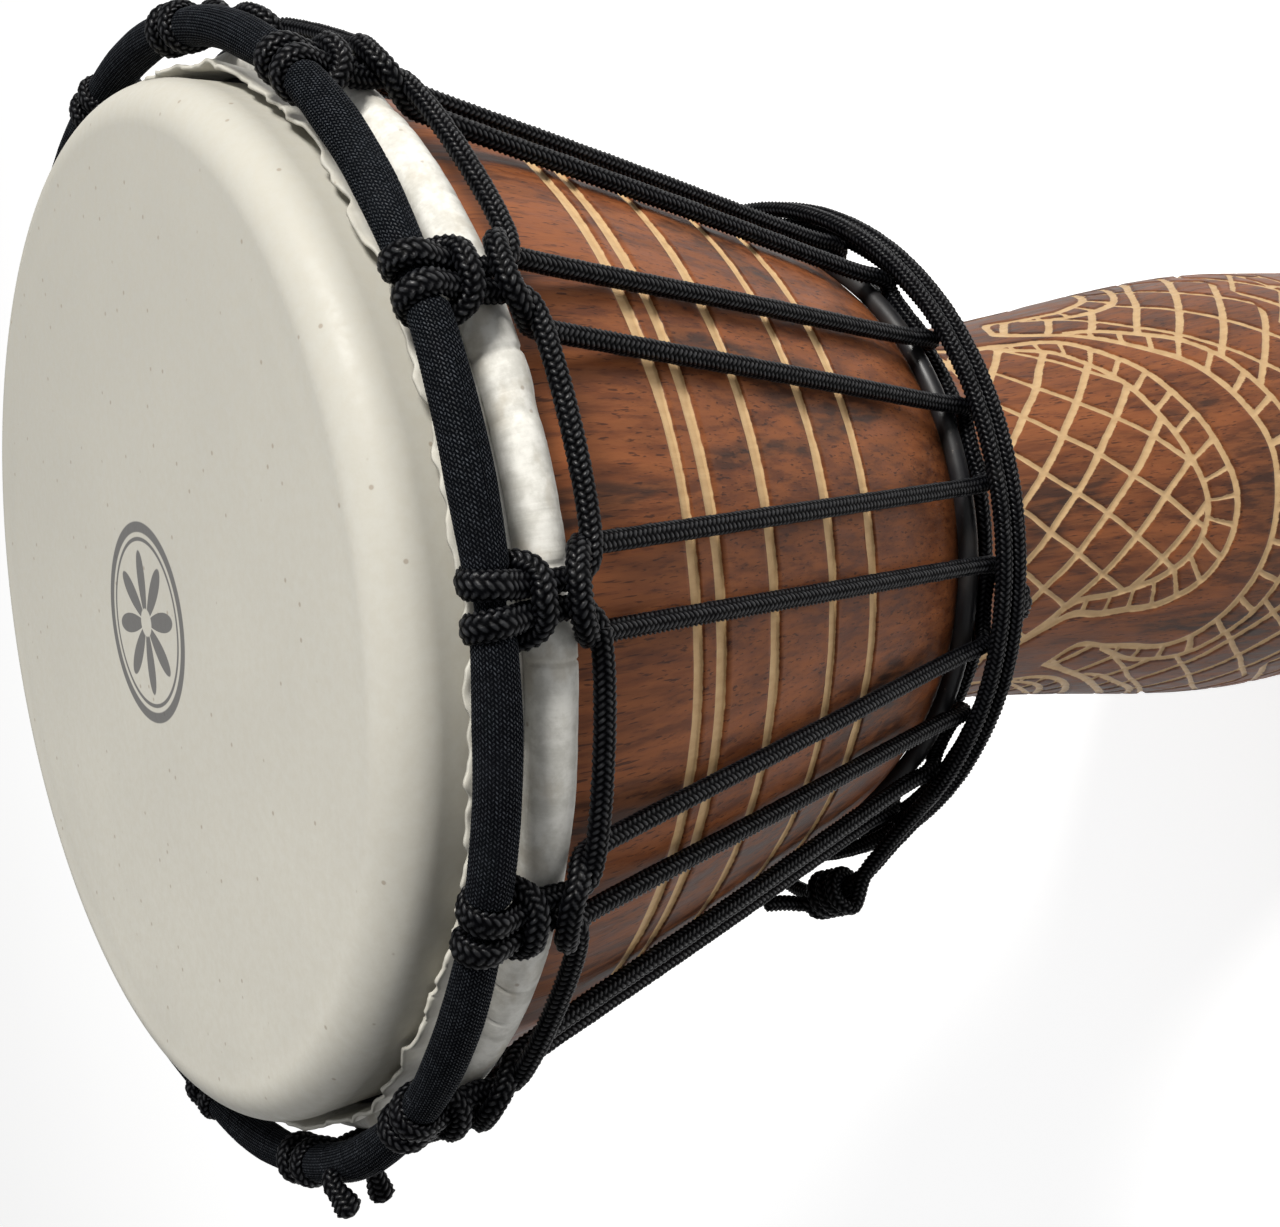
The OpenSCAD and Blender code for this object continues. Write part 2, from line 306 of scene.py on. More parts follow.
def floor_material():
    m = Nodes("floor")
    patches = m.noise(m.place((0.002, 0.002, 0.002)), detail=2)
    colour = m.mix(patches, (0.66, 0.66, 0.66), (0.69, 0.69, 0.69))
    rough = m.steps(patches, 0.3, 0.7, 0.7, 0.8)
    glow = {"Emission_Color": (1.0, 1.0, 1.0, 1.0), "Emission_Strength": 0.68}
    return m.finish(colour, rough, m.bump(patches, 0.02, 0.1), Specular_IOR_Level=0.1, **glow)


# ---------------------------------------------------------------- meshes

def make_piece(name, verts, quads, material, nodes, uv=None, values=None, tris=None):
    """A mesh piece from arrays in millimetres (heights from the floor), riding on the drum."""
    mesh = bpy.data.meshes.new(name)
    faces = [quads] if tris is None else [quads, tris]
    loops = np.concatenate([f.ravel() for f in faces])
    sizes = np.concatenate([np.full(len(f), f.shape[1]) for f in faces])
    mesh.vertices.add(len(verts))
    mesh.vertices.foreach_set("co", (verts * MM).astype(np.float32).ravel())
    mesh.loops.add(len(loops))
    mesh.loops.foreach_set("vertex_index", loops.astype(np.int32))
    mesh.polygons.add(len(sizes))
    mesh.polygons.foreach_set("loop_start", (np.cumsum(sizes) - sizes).astype(np.int32))
    mesh.polygons.foreach_set("use_smooth", np.ones(len(sizes), bool))
    mesh.update(calc_edges=True)
    if uv is not None:
        layer = mesh.uv_layers.new(name="UVMap")
        layer.data.foreach_set("uv", uv[loops].astype(np.float32).ravel())
    for key, value in (values or {}).items():
        mesh.attributes.new(key, "FLOAT", "POINT").data.foreach_set("value", value.astype(np.float32))
    mesh.validate()
    mesh.materials.append(material)
    piece = bpy.data.objects.new(name, mesh)
    bpy.context.scene.collection.objects.link(piece)
    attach(piece, "root")
    if nodes:
        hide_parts(*nodes)
    return piece


def grid_quads(rows, columns, wrap_rows=False, wrap_columns=True):
    """Quads of a rows by columns grid of points."""
    r = np.arange(rows if wrap_rows else rows - 1)
    c = np.arange(columns if wrap_columns else columns - 1)
    r, c = np.meshgrid(r, c, indexing="ij")
    r2, c2 = (r + 1) % rows, (c + 1) % columns
    corners = [r * columns + c, r * columns + c2, r2 * columns + c2, r2 * columns + c]
    return np.stack(corners, -1).reshape(-1, 4)


def end_fans(rows, columns):
    """Triangles that close both ends of a grid; the two middles are the vertices after the grid's."""
    k = np.arange(columns)
    n = rows * columns
    first = np.stack([np.full(columns, n), (k + 1) % columns, k], 1)
    last = np.stack([np.full(columns, n + 1), n - columns + k, n - columns + (k + 1) % columns], 1)
    return np.concatenate([first, last])


NOISE_CELLS = 512


def lattice_noise(x, y, seed, period=None):
    """Smooth noise from -1 to 1 that repeats every period along x."""
    x, y = np.broadcast_arrays(x, y)
    period = period or NOISE_CELLS
    table = np.random.default_rng(seed).uniform(-1, 1, (NOISE_CELLS, period))
    xi, yi = np.floor(x).astype(int), np.floor(y).astype(int)
    fx, fy = x - xi, y - yi
    fx, fy = fx * fx * (3 - 2 * fx), fy * fy * (3 - 2 * fy)
    here, after = yi % NOISE_CELLS, (yi + 1) % NOISE_CELLS
    a, b = table[here, xi % period], table[here, (xi + 1) % period]
    c, d = table[after, xi % period], table[after, (xi + 1) % period]
    return (a * (1 - fx) + b * fx) * (1 - fy) + (c * (1 - fx) + d * fx) * fy


def round_noise(turn, y, count, seed):
    """lattice_noise round the drum: turn is 0 to 1, count is the number of waves round it."""
    return lattice_noise(turn * count, y, seed, count)


def smooth_line(points, spacing, closed=False):
    """Points at even spacing along a curve through points."""
    p = np.asarray(points, float)
    if closed:
        p = np.concatenate([p[-1:], p, p[:2]])
    else:
        p = np.concatenate([2 * p[:1] - p[1:2], p, 2 * p[-1:] - p[-2:-1]])
    t = np.linspace(0, 1, 13)[:-1, None]
    dense = []
    for a, b, c, d in zip(p[:-3], p[1:-2], p[2:-1], p[3:]):
        ka, kb, kc = (max(np.linalg.norm(v), 1e-6) ** 0.5 for v in (b - a, c - b, d - c))
        m1 = (b - a) / ka - (c - a) / (ka + kb) + (c - b) / kb
        m2 = (c - b) / kb - (d - b) / (kb + kc) + (d - c) / kc
        m1, m2 = m1 * kb, m2 * kb
        dense.append((2 * t**3 - 3 * t**2 + 1) * b + (t**3 - 2 * t**2 + t) * m1
                     + (3 * t**2 - 2 * t**3) * c + (t**3 - t**2) * m2)
    dense.append(p[-2][None])
    dense = np.concatenate(dense)
    along = np.concatenate([[0], np.cumsum(np.linalg.norm(np.diff(dense, axis=0), axis=1))])
    count = max(int(round(along[-1] / spacing)), 2)
    wanted = np.linspace(0, along[-1], count + 1)
    return np.stack([np.interp(wanted, along, dense[:, k]) for k in range(dense.shape[1])], 1)


# ---------------------------------------------------------------- braided rope

BRAIDS = 8           # strands each way round the rope
PICK = 1.45          # length of one crossing along the rope
PLAIT_DEPTH = 0.26   # of the rope's radius
AROUND = 48          # points round the rope
RING_STEP = PICK / 4


def braid(turn, along):
    """Height of the plait, 0 to 1, at a turn round the rope (0 to 1) and a length along it."""
    u, v = turn * BRAIDS, along / PICK
    a, b = u + v, u - v
    ia, ib = np.floor(a), np.floor(b)
    fa, fb = a - ia, b - ib
    phase = np.mod(ia + ib, 4)
    over = phase < 2
    across = np.where(over, fa, fb)
    run = np.where(over, phase + fb, phase - 2 + fa) / 2
    return np.cos(math.pi * (across - 0.5)) * np.sin(math.pi * np.clip(run, 0, 1)) ** 0.6


def frames_along(path, closed):
    """Tangent and two side directions at each point, without twist."""
    if closed:
        tangent = np.roll(path, -1, 0) - np.roll(path, 1, 0)
    else:
        tangent = np.gradient(path, axis=0)
    tangent /= np.linalg.norm(tangent, axis=1)[:, None]
    side = np.zeros_like(path)
    first = np.cross(tangent[0], (0.0, 0.0, 1.0))
    if np.linalg.norm(first) < 0.1:
        first = np.cross(tangent[0], (1.0, 0.0, 0.0))
    side[0] = first / np.linalg.norm(first)
    for k in range(1, len(path)):
        s = side[k - 1] - tangent[k] * np.dot(side[k - 1], tangent[k])
        side[k] = s / np.linalg.norm(s)
    return tangent, side, np.cross(tangent, side)


def rope_surface(path, swell=None, squeeze=None, closed=False):
    """Verts (rings x AROUND), uv and plait height of a braided rope along path.

    swell scales each ring; squeeze is (directions, factors) that flatten it along a direction."""
    tangent, side, other = frames_along(path, closed)
    along = np.arange(len(path)) * RING_STEP
    turn = np.arange(AROUND) / AROUND
    angle = turn * TAU
    height = braid(turn[None, :], along[:, None])
    height = height * (0.85 + 0.15 * lattice_noise(turn[None, :] * 12, along[:, None] / 1.7, 7, 12))
    depth = PLAIT_DEPTH * ROPE_R
    r = ROPE_R - depth + depth * height
    if swell is not None:
        r = r * swell[:, None]
    out = r[..., None] * (np.cos(angle)[None, :, None] * side[:, None, :]
                          + np.sin(angle)[None, :, None] * other[:, None, :])
    if squeeze is not None:
        direction, factor = squeeze
        part = (out * direction[:, None, :]).sum(-1, keepdims=True) * direction[:, None, :]
        wider = 1 + 0.45 * (1 - factor)
        out = part * factor[:, None, None] + (out - part) * wider[:, None, None]
    verts = path[:, None, :] + out
    uv = np.stack(np.broadcast_arrays(turn[None, :], along[:, None] / 20), -1)
    return verts, uv, height


def rope_piece(name, surface, first, last, nodes, caps=False):
    """A piece made of rings first to last of a rope surface."""
    verts, uv, height = (part[first:last + 1] for part in surface)
    rings = len(verts)
    quads = grid_quads(rings, AROUND)
    flat, flat_uv, flat_height = verts.reshape(-1, 3), uv.reshape(-1, 2), height.reshape(-1)
    tris = None
    if caps:
        ends = np.stack([verts[0].mean(0), verts[-1].mean(0)])
        flat = np.concatenate([flat, ends])
        flat_uv = np.concatenate([flat_uv, uv[[0, -1], 0]])
        flat_height = np.concatenate([flat_height, [0.5, 0.5]])
        tris = end_fans(rings, AROUND)
    return make_piece(name, flat, quads, ROPE, nodes, flat_uv, {"strand": flat_height}, tris)


def turned(points, angle):
    """Local (radius, tangent, height) points turned about the drum's axis and lifted to the crown ring."""
    p = np.asarray(points, float)
    c, s = math.cos(angle), math.sin(angle)
    return np.stack([p[:, 0] * c - p[:, 1] * s, p[:, 0] * s + p[:, 1] * c, p[:, 2] + CROWN_Z], 1)


def round_crown(angle, reach, tangent):
    """Point at an angle (degrees, 0 outward and 90 up) and reach from the crown ring's rod."""
    a = math.radians(angle)
    return (CROWN_R + reach * math.cos(a), tangent, reach * math.sin(a))


WRAP = 4.3  # reach of the rope from the crown ring's rod; it sinks into the sleeve

# routes of half a hitch and half a lacing run from the middle of the hitch: radius, tangent, height
HITCH_HALF = [
    (134.7, 0.0, -8.3),
    (133.9, 3.3, -8.6),
    (132.0, 5.5, -8.0),
    (129.9, 6.5, -6.4),
    round_crown(-130, 4.7, 6.2),
    round_crown(-180, WRAP, 5.0),
    round_crown(-225, WRAP, 4.2),
    round_crown(-270, WRAP, 3.8),
    round_crown(-315, WRAP, 3.5),
    round_crown(-360, WRAP, 3.2),
    round_crown(-405, WRAP + 0.3, 2.9),
    (131.0, 2.6, -7.4),
    (129.9, 2.5, -11.5),
    (129.7, 2.6, -15.8),
    (130.3, 3.4, -19.2),
    (131.0, 6.6, -21.4),
]
LACING_HALF = [
    (134.4, 0.0, -15.9),
    (134.0, 4.0, -16.3),
    (132.2, 7.0, -18.0),
    (128.8, 8.2, -20.6),
    (126.3, 8.2, -23.4),
    (124.7, 8.2, -28.0),
    (107.0, 9.0, -95.5),
    (89.4, 9.8, -161.5),
    (88.4, 10.0, -167.5),
    (86.8, 10.3, -171.6),
    (84.2, 11.4, -173.4),
]
SPAN_END = HITCH_HALF[-1]

# the rope is flattened within SQUEEZE_REACH of the crown ring's rod and swells in a hitch's loose turns
SQUEEZE_REACH = 7.0
SQUEEZE_FADE = 2.2
HITCH_SQUEEZE = 0.34
HITCH_SWELL = 0.10
HOOK_MIDDLE = (83.8, 0.0, -173.4)


def mirrored(half):
    """A half route given from its middle, as a whole route from the far side through the middle."""
    other = [(r, -y, z) for r, y, z in half[:0:-1]]
    return other + list(half)


def nearest(path, point):
    return int(np.argmin(np.linalg.norm(path - point, axis=1)))


def midway(k):
    """Bearing halfway from hitch k to the next."""
    after = HITCH_A[(k + 1) % HITCHES] + (TAU if k + 1 == HITCHES else 0)
    return (HITCH_A[k] + after) / 2


def close_ring(surface):
    """A rope surface with its first ring repeated at its end."""
    return [np.concatenate([part, part[:1]]) for part in surface]


def make_cradle():
    """One rope round the crown: a hitch and a straight span, fourteen times."""
    points = np.concatenate([turned(mirrored(HITCH_HALF), a) for a in HITCH_A])
    path = smooth_line(points, RING_STEP, closed=True)[:-1]
    spoke = path * (1, 1, 0)
    flat_r = np.linalg.norm(spoke, axis=1)
    spoke /= flat_r[:, None]
    from_rod = path - spoke * CROWN_R - np.array([0, 0, CROWN_Z])
    reach = np.linalg.norm(from_rod, axis=1)
    near = np.clip((SQUEEZE_REACH - reach) / SQUEEZE_FADE, 0, 1)
    direction = from_rod / np.maximum(reach, 0.5)[:, None]
    loose = np.clip((18.5 - (CROWN_Z - path[:, 2])) / 4, 0, 1)
    swell = 1 + HITCH_SWELL * loose
    surface = close_ring(rope_surface(path, swell, (direction, 1 - HITCH_SQUEEZE * near), closed=True))
    start = [nearest(path, turned([(SPAN_END[0], -SPAN_END[1], SPAN_END[2])], a)) for a in HITCH_A]
    stop = [nearest(path, turned([SPAN_END], a)) for a in HITCH_A]
    for k in range(HITCHES):
        after = start[k + 1] if k + 1 < HITCHES else len(path)
        rope_piece(f"crown_hitch_rope_{k + 1}", surface, start[k], stop[k], [f"crown_hitch_{k + 1}"])
        rope_piece(f"cradle_span_rope_{k + 1}", surface, stop[k], after, [f"cradle_span_{k + 1}"])


def make_lacing():
    """One rope zigzag between the hitches and the bottom ring, cut into a run for each hitch."""
    points = []
    for k in range(HITCHES):
        points.append(turned(mirrored(LACING_HALF), HITCH_A[k]))
        points.append(turned([HOOK_MIDDLE], midway(k)))
    path = smooth_line(np.concatenate(points), RING_STEP, closed=True)[:-1]
    loose = np.clip((30 - (CROWN_Z - path[:, 2])) / 8, 0, 1)
    surface = close_ring(rope_surface(path, 1 + 0.08 * loose, closed=True))
    marks = [nearest(path, turned([HOOK_MIDDLE], midway(k))) for k in range(HITCHES)]
    joined = [np.concatenate([part[marks[-1]:-1], part[:marks[0] + 1]]) for part in surface]
    rope_piece("lacing_run_rope_1", joined, 0, len(joined[0]) - 1, ["lacing_run_1"])
    for k in range(1, HITCHES):
        rope_piece(f"lacing_run_rope_{k + 1}", surface, marks[k - 1], marks[k], [f"lacing_run_{k + 1}"])


TURN_SNUG = {"waist_turn_inner": 0.6}  # pulled out against the turn in front of it


def make_waist_turns():
    for name in ("waist_turn_upper", "waist_turn_lower", "waist_turn_inner", "waist_turn_lowest"):
        radius, _, height = ring_of(name)
        radius += TURN_SNUG.get(name, 0)
        count = int(TAU * radius / RING_STEP)
        angle = np.arange(count) / count * TAU
        lift = 0.25 * round_noise(angle / TAU, 0.0, 28, 5)
        path = np.stack([radius * np.cos(angle), radius * np.sin(angle), height + lift], 1)
        rope_piece(name + "_rope", close_ring(rope_surface(path, closed=True)), 0, count, [name])


def short_rope(name, points, angle, node, ends=0.0, bulb=1.0):
    """A piece of rope through local points.

    ends rounds both of its ends off over that length; bulb swells its last end."""
    path = smooth_line(turned(points, angle), RING_STEP)
    along = np.arange(len(path)) * RING_STEP
    left = along[-1] - along
    swell = 1 + (bulb - 1) * np.exp(-((left - ROPE_R) / (1.2 * ROPE_R)) ** 2)
    for reach in (left, along) if ends else ():
        t = np.clip(1 - reach / ends, 0, 1)
        swell = swell * np.sqrt(np.maximum(1 - t * t, 0.02))
    rope_piece(name, rope_surface(path, swell), 0, len(path) - 1, [node], caps=True)


def coil(reach, turns, first_y, last_y, steps=10):
    """Offsets (radius, tangent, height) of a coil whose axis runs along the tangent."""
    t = np.linspace(0, 1, int(turns * steps) + 1)
    a = TAU * turns * t
    return np.stack([reach * np.cos(a), first_y + (last_y - first_y) * t, reach * np.sin(a)], 1)


TIE_A = math.radians(-75)
TIE = np.array((104.0, 0.0, -161.5))
ENDS_A = math.radians(-70)
START_A = math.radians(-14.5)
START = np.array((85.0, 0.0, -183.6))


def make_knots():
    """The tie-off on the waist turns, the sealed ends of the crown rope and the lacing's stopper knot."""
    wraps = TIE + coil(4.7, 3.2, 6.6, -6.6)
    strand = [(83.4, 42.0, -169.8), (86.4, 35.4, -169.6), (90.8, 27.0, -168.2), (96.0, 18.8, -166.0),
              (101.0, 12.0, -163.8)]
    tail = [(104.6, -9.5, -155.6), (103.2, -10.5, -150.5), (102.4, -11.5, -145.5)]
    short_rope("tie_off_wraps", np.concatenate([strand, wraps, tail]), TIE_A, "tie_off_knot", ends=1.2)
    core = [(83.4, 42.0, -174.8), (86.2, 35.4, -174.4), (90.2, 27.0, -172.4), (95.0, 18.6, -169.8),
            (99.4, 12.2, -166.9), (103.0, 6.0, -163.0), (104.0, -2.0, -161.5), (103.2, -9.0, -161.9),
            (100.4, -19.0, -164.0), (96.0, -28.0, -166.6)]
    short_rope("tie_off_core", core, TIE_A, "tie_off_tail", ends=1.2)
    for name, side, last in (("high", 1, (141.0, 4.8, 4.0)), ("low", -1, (141.0, -4.2, -7.4))):
        points = [(130.4, 1.0 * side, 4.6 * side), (133.5, 2.0 * side, 5.8 * side),
                  (137.0, (2.0 * side + last[1]) / 2, (5.8 * side + last[2]) / 2), last]
        short_rope("crown_rope_end_" + name, points, ENDS_A, "crown_rope_end_knot", ends=2.2, bulb=1.35)
    stopper = START + coil(2.5, 1.9, 3.0, -3.0)
    lead = [(84.5, 10.0, -173.5), (86.6, 7.5, -178.0)]
    short_rope("lacing_stopper", np.concatenate([lead, stopper]), START_A, "lacing_start_knot", ends=1.6)


# ---------------------------------------------------------------- shell

COLUMNS = 720  # points round the shell

# outside of the bowl: radius and drop
SHELL_OUTER = [
    (117.9, -6), (117.2, 5), (116.5, 12), (117, 20), (118, 30), (117.3, 40), (114.8, 55),
    (110.6, 72), (105.4, 92), (99.9, 112), (93, 137), (88.6, 150), (84, 161), (80.2, 168), (76, 175.5),
    (69.5, 185), (63.5, 195), (59.6, 204),
]
WAIST_DROP = 212.0
FOOT_DROP = CROWN_Z
WAIST_R = 57.0
FOOT_R = 74.0
PIPE_SWELL = 17.0
PIPE_RISE = 0.62
BOWL_WALL = 14.0
WAIST_WALL = 13.0
FOOT_WALL = 16.0
HEAD_R = 119.0
EDGE_R = 8.8
SKIN_T = 1.1
GROOVES = [57, 64.5, 83, 105, 121.5]  # drops of the lines cut round the bowl
GROOVE_W = 2.9
GROOVE_DEPTH = 1.0
CARVING_DEPTH = 0.8

# lobes of the foot's carving: azimuth in degrees and drop, repeated three times round the foot
LOBE_EDGE = [
    (60, 214), (58, 231), (55, 262), (41, 281), (25, 292), (11, 300), (-2, 304), (-14, 302), (-25, 293),
    (-32, 277), (-34, 259), (-33, 245), (-36, 238), (-43, 228), (-47, 214),
]
TONGUE_EDGE = [
    (65, 248), (56, 272), (45, 292), (38, 302), (30, 310), (21, 316), (10, 321), (-4, 321), (-17, 319),
    (-28, 315), (-37, 309), (-44, 301), (-48, 288), (-47, 268), (-46, 255), (-55, 248),
]


def shell_radius(drop):
    """Outer radius of the shell at drops below the crown ring."""
    drop = np.asarray(drop, float)
    pipe_t = np.clip((drop - WAIST_DROP) / (FOOT_DROP - WAIST_DROP), 0, 1)
    rise = np.minimum(pipe_t / PIPE_RISE, 1)
    pipe = WAIST_R + PIPE_SWELL * rise**2 * (3 - 2 * rise) + (FOOT_R - WAIST_R - PIPE_SWELL) * pipe_t**2
    outline = smooth_line([(d, r) for r, d in SHELL_OUTER] + [(WAIST_DROP, WAIST_R)], 1.0)
    bowl = np.interp(drop, outline[:, 0], outline[:, 1])
    return np.where(drop > WAIST_DROP, pipe, bowl)


def line_distance(x, y, line):
    """Distance to a polyline, and the length along it at the nearest place."""
    best = np.full(x.shape, 1e9)
    along = np.zeros(x.shape)
    run = 0.0
    for (ax, ay), (bx, by) in zip(line[:-1], line[1:]):
        dx, dy = bx - ax, by - ay
        size = math.hypot(dx, dy)
        t = np.clip(((x - ax) * dx + (y - ay) * dy) / size**2, 0, 1)
        d = np.hypot(x - ax - t * dx, y - ay - t * dy)
        nearer = d < best
        best = np.where(nearer, d, best)
        along = np.where(nearer, run + t * size, along)
        run += size
    return best, along


def within(x, y, loop):
    """Even-odd test of points in a closed outline."""
    inside = np.zeros(x.shape, bool)
    for (ax, ay), (bx, by) in zip(loop, np.roll(loop, -1, 0)):
        if ay == by:
            continue
        crosses = ((ay > y) != (by > y)) & (x < (bx - ax) * (y - ay) / (by - ay) + ax)
        inside ^= crosses
    return inside


def cut_line(distance, width):
    """1 on a carved line, falling to 0 at its sides."""
    return np.clip(1.5 - np.abs(distance) / (width / 2), 0, 1)


DEGREE = 1.11          # millimetres to a degree round the foot
LADDER = 12.0          # widest place of the band of rungs along a carved edge
RUNG_STEP = 9.4
CARVING_TURN = 120.0   # degrees after which the carving repeats
NET_STEPS = 7          # lines of the net to one turn of the carving
NET_A = (1.15, 14.6)   # slope of the net's first lines and millimetres from one to the next
NET_B = (1.6, 17.0)
PAST_WAIST, PAST_FOOT = 150, 420  # drops outside the pipe, where the outlines are closed
CARVED_FROM, CARVED_TO = WAIST_DROP + 2, FOOT_DROP - 17
RING_LINES = (WAIST_DROP + 4, FOOT_DROP - 26, FOOT_DROP - 19)


def foot_carving(turn, drop):
    """Depth, 0 to 1, of the lines carved on the pipe."""
    turn, drop = np.broadcast_arrays(turn, drop)
    period = CARVING_TURN
    middle = (WAIST_DROP + FOOT_DROP) / 2 + 6
    lobe = smooth_line([(a * DEGREE, d) for a, d in LOBE_EDGE], 3)
    tongue = smooth_line([(a * DEGREE, d) for a, d in TONGUE_EDGE], 3)
    carve = np.zeros(turn.shape)
    for flip in (False, True):
        y = 2 * middle - drop if flip else drop
        base = turn * 360 + (60 if flip else 0)
        wander = 0.7 * round_noise(turn, y / 14, 40, 11 + flip)
        side = np.mod(base + wander + 55, period) - 55
        lobe_in = np.zeros(turn.shape, bool)
        tongue_in = np.zeros(turn.shape, bool)
        lobe_d = np.full(turn.shape, 1e9)
        tongue_d = np.full(turn.shape, 1e9)
        lobe_s = np.zeros(turn.shape)
        tongue_s = np.zeros(turn.shape)
        for shift in (-period, 0, period):
            x = (side + shift) * DEGREE
            lobe_ends = [[lobe[-1, 0], PAST_WAIST], [lobe[0, 0], PAST_WAIST]]
            tongue_ends = [[tongue[-1, 0], PAST_FOOT], [tongue[0, 0], PAST_FOOT]]
            lobe_in |= within(x, y, np.concatenate([lobe, lobe_ends]))
            tongue_in |= within(x, y, np.concatenate([tongue, tongue_ends]))
            for line, near, along in ((lobe, lobe_d, lobe_s), (tongue, tongue_d, tongue_s)):
                d, s = line_distance(x, y, line)
                closer = d < near
                near[closer] = d[closer]
                along[closer] = s[closer]
        upper = y < middle
        slope_a, gap_a = NET_A
        slope_b, gap_b = NET_B
        net_a = np.abs(np.mod((side * slope_a - y) / (slope_a * period / NET_STEPS) + 0.5, 1) - 0.5) * gap_a
        net_b = np.abs(np.mod((side * slope_b + y) / (slope_b * period / NET_STEPS) + 0.5, 1) - 0.5) * gap_b
        net = np.maximum(cut_line(net_a, 2.5), 0.9 * cut_line(net_b, 1.8))
        for inside, d, s, line in ((lobe_in, lobe_d, lobe_s, lobe), (tongue_in, tongue_d, tongue_s, tongue)):
            here = inside & upper
            length = np.linalg.norm(np.diff(line, axis=0), axis=1).sum()
            band = LADDER * np.clip(1 - (2.5 * s / length - 1.25) ** 2, 0, 1) ** 0.7
            ladder = np.maximum(cut_line(d, 2.4), cut_line(d - band, 2.2) * here * (band > 1))
            rungs = cut_line(np.mod(s, RUNG_STEP) - RUNG_STEP / 2, 1.7) * (d < band) * here
            carve = np.maximum(carve, np.where(upper, ladder, 0))
            carve = np.maximum(carve, rungs)
            carve = np.maximum(carve, net * here * (d > band))
    for ring_drop in RING_LINES:
        carve = np.maximum(carve, cut_line(drop - ring_drop + 0.3 * round_noise(turn, 0, 50, 3), 2.0))
    carve[(drop < CARVED_FROM) | (drop > CARVED_TO)] = 0
    return carve


def shell_rows():
    """Outline of the shell as (radius, drop, carved) rows, round the whole section."""
    rim_r, rim_z = HEAD_R - SKIN_T - EDGE_R, DRUM_H - SKIN_T - EDGE_R - CROWN_Z
    bend = np.linspace(0, math.pi / 2, 8)
    edge = [(rim_r + EDGE_R * math.sin(a), -rim_z - EDGE_R * math.cos(a)) for a in bend]
    fine = [np.arange(g - 2.1, g + 2.11, 0.35) for g in GROOVES]
    bowl = np.unique(np.round(np.concatenate([np.arange(2, WAIST_DROP, 2.0), *fine]), 2))
    pipe = np.linspace(WAIST_DROP, FOOT_DROP - 1.2, 350)
    outer = np.concatenate([bowl, pipe])
    rows = [(r, d, 0) for r, d in edge]
    rows += [(r, d, 1) for r, d in zip(shell_radius(outer), outer)]
    rows += [(FOOT_R - 0.4, FOOT_DROP - 0.4, 0), (FOOT_R - 1.4, FOOT_DROP, 0)]
    rows += [(FOOT_R - FOOT_WALL + 1.4, FOOT_DROP, 0), (FOOT_R - FOOT_WALL + 0.4, FOOT_DROP - 0.4, 0)]
    for d in np.linspace(FOOT_DROP - 1.4, WAIST_DROP, 24):
        t = (d - WAIST_DROP) / (FOOT_DROP - WAIST_DROP)
        rows.append((shell_radius(d) - WAIST_WALL - (FOOT_WALL - WAIST_WALL) * t, d, 0))
    for d in np.linspace(204, 22, 40):
        rows.append((shell_radius(d) - BOWL_WALL - (1.5 if d > 160 else 0), d, 0))
    rows += [(104, 8, 0), (104, -10, 0), (104.5, -13, 0), (105, -13.8, 0)]
    return np.array(rows, float)


def make_shell():
    rows = shell_rows()
    turn = np.arange(COLUMNS) / COLUMNS
    drop = rows[:, 1][:, None]
    radius = np.repeat(rows[:, :1], COLUMNS, 1)
    cut = np.zeros_like(radius)
    bowl = (rows[:, 2] > 0) & (rows[:, 1] < WAIST_DROP)
    pipe = (rows[:, 2] > 0) & ~bowl
    for k, groove in enumerate(GROOVES):
        sway = 0.24 * round_noise(turn, 0, 26, 20 + k) + 0.05 * round_noise(turn, 0, 180, 40 + k)
        width = GROOVE_W * (1.04 + 0.14 * round_noise(turn, 0, 50, 60 + k))
        depth = np.clip((width / 2 + 0.45 - np.abs(drop - groove - sway)) / 0.7, 0, 1)
        cut = np.maximum(cut, depth * bowl[:, None])
    cut[pipe] = foot_carving(turn[None, :], drop[pipe])
    skin_deep = np.where(bowl, GROOVE_DEPTH, CARVING_DEPTH)[:, None]
    carved = rows[:, 2][:, None] > 0
    hand = 0.10 * round_noise(turn, drop / 30, 24, 70) + 0.05 * round_noise(turn, drop / 9, 90, 71)
    radius = radius - cut * skin_deep + hand * carved
    angle = turn * TAU
    verts = np.stack([radius * np.cos(angle), radius * np.sin(angle),
                      np.broadcast_to(CROWN_Z - drop, radius.shape)], -1)
    uv = np.stack(np.broadcast_arrays(turn[None, :], drop / 500), -1)
    quads = grid_quads(len(rows), COLUMNS, wrap_rows=True)
    make_piece("shell_wood", verts.reshape(-1, 3), quads[:, ::-1], WOOD, ["shell"], uv.reshape(-1, 2),
               {"cut": cut.ravel()})


# ---------------------------------------------------------------- drumhead

# the collar runs from low to top, each a radius and a height from the crown ring
COLLAR_LOW = (120.5, -11.7)
COLLAR_TOP = (122.0, 2.0)
COLLAR_ROWS = 14
FACE_R = 108.0       # the flat of the face
PLEATS_FROM = -12.0  # the skin's pleats begin near this height from the crown ring


